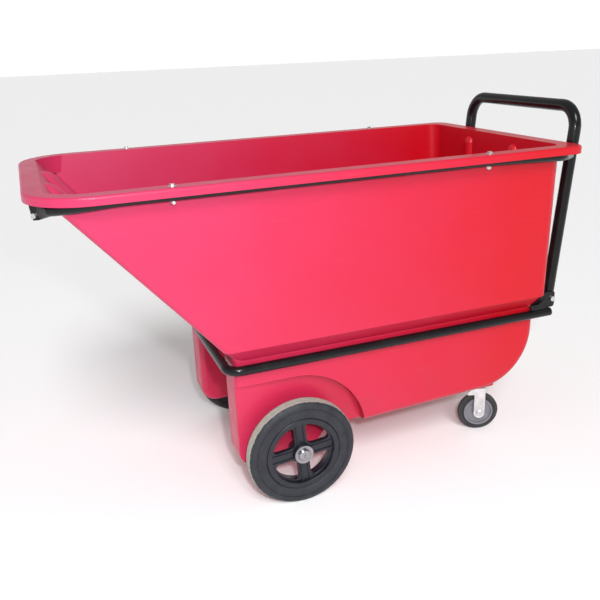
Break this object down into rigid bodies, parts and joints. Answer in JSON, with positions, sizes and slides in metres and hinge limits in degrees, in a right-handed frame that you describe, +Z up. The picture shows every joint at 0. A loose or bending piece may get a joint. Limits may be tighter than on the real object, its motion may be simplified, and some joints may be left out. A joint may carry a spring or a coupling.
{
  "type": "self-dumping tilt truck",
  "caption": "Moulded plastic tilt truck with a sloped pouring front, tube frame, push handle, large fixed wheels and swivel casters.",
  "frame": {"origin": "middle of the bounding box in plan, on the floor the wheels stand on", "axes": "+X toward the push handle (the pouring lip faces -X), +Y across, +Z up"},
  "size_m": [1.4767, 0.724, 1.0147],
  "materials": {
    "hopper_plastic": "glossy moulded red",
    "frame_paint": "gloss black paint",
    "zinc": "bright zinc plate",
    "cap_steel": "bright pressed steel",
    "plug_plastic": "black plastic",
    "hub_plastic": "dark blue-black moulded plastic",
    "bush_plastic": "plain nylon",
    "tyre_rubber": "dark rubber with a dusty tread",
    "caster_core": "grey moulded plastic",
    "caster_rubber": "dark grey rubber"
  },
  "bodies": {
    "truck": {"hopper": "hopper_plastic", "side_rail_left": "frame_paint", "side_rail_right": "frame_paint", "front_cross_bar": "frame_paint", "lower_loop": "frame_paint", "push_handle": "frame_paint", "corner_bracket_left": "frame_paint", "corner_bracket_right": "frame_paint", "cross_bar_bolts": "zinc", "bracket_bolts": "zinc", "rim_bolts": "zinc", "rim_washers": "zinc", "rim_nuts": "zinc", "caster_bolts": "zinc", "caster_nuts": "zinc", "axle": "zinc", "axle_spacers": "zinc", "push_caps": "cap_steel", "loop_end_plugs": "plug_plastic", "handle_foot_plugs": "plug_plastic", "caster_plate_left": "zinc", "kingpin_left": "zinc", "caster_plate_right": "zinc", "kingpin_right": "zinc"},
    "wheel_left": {"wheel_hub_left": "hub_plastic", "hub_bush_left": "bush_plastic", "wheel_tyre_left": "tyre_rubber"},
    "caster_left": {"caster_fork_left": "zinc", "caster_axle_left": "zinc", "caster_bush_left": "zinc"},
    "caster_wheel_left": {"caster_wheel_left": "caster_core", "caster_tread_left": "caster_rubber"},
    "wheel_right": {"wheel_hub_right": "hub_plastic", "hub_bush_right": "bush_plastic", "wheel_tyre_right": "tyre_rubber"},
    "caster_right": {"caster_fork_right": "zinc", "caster_axle_right": "zinc", "caster_bush_right": "zinc"},
    "caster_wheel_right": {"caster_wheel_right": "caster_core", "caster_tread_right": "caster_rubber"}
  },
  "joints": [
    {"name": "wheel_left_spin", "type": "hinge", "parent": "truck", "child": "wheel_left", "pos_m": [-0.14235, 0.286, 0.1524], "axis": [0, 1, 0], "continuous": true},
    {"name": "caster_left_swivel", "type": "hinge", "parent": "truck", "child": "caster_left", "pos_m": [0.47865, 0.152, 0.15], "axis": [0, 0, 1], "continuous": true},
    {"name": "caster_left_spin", "type": "hinge", "parent": "caster_left", "child": "caster_wheel_left", "pos_m": [0.50872, 0.14106, 0.0635], "axis": [0.342, 0.9397, 0], "continuous": true},
    {"name": "wheel_right_spin", "type": "hinge", "parent": "truck", "child": "wheel_right", "pos_m": [-0.14235, -0.286, 0.1524], "axis": [0, 1, 0], "continuous": true},
    {"name": "caster_right_swivel", "type": "hinge", "parent": "truck", "child": "caster_right", "pos_m": [0.47865, -0.152, 0.15], "axis": [0, 0, 1], "continuous": true},
    {"name": "caster_right_spin", "type": "hinge", "parent": "caster_right", "child": "caster_wheel_right", "pos_m": [0.50872, -0.16295, 0.0635], "axis": [0.342, 0.9397, 0], "continuous": true}
  ]
}
